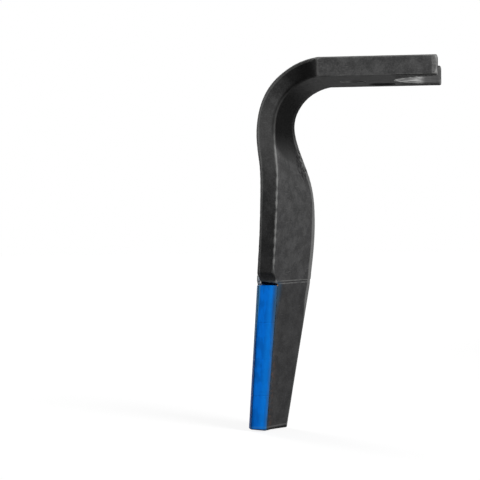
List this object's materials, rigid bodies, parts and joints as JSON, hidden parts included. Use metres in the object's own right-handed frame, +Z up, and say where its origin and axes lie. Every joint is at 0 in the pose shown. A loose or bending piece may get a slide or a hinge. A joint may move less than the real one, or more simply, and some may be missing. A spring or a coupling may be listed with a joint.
{
  "type": "rotary harrow tine",
  "caption": "Forged soil-working tine: a flat bolt-on palm with a pin hole and a half-round hub notch, bent down into a tapering blade whose leading edge is faced with brazed carbide tiles.",
  "frame": {"origin": "axis of the pin hole, on the palm's top face", "axes": "+Z up along the pin hole's axis, away from the tip; +X from the hole towards the palm's notched end; -Y is the leading side, where the carbide tiles are"},
  "size_m": [0.1658, 0.12, 0.3129],
  "materials": {
    "forged_steel": "satin",
    "blue_paint": "satin"
  },
  "bodies": {
    "root": {"tine_body": "forged_steel", "carbide_tile_1": "blue_paint", "carbide_tile_2": "blue_paint", "carbide_tile_3": "blue_paint", "carbide_tile_4": "blue_paint"}
  },
  "joints": []
}
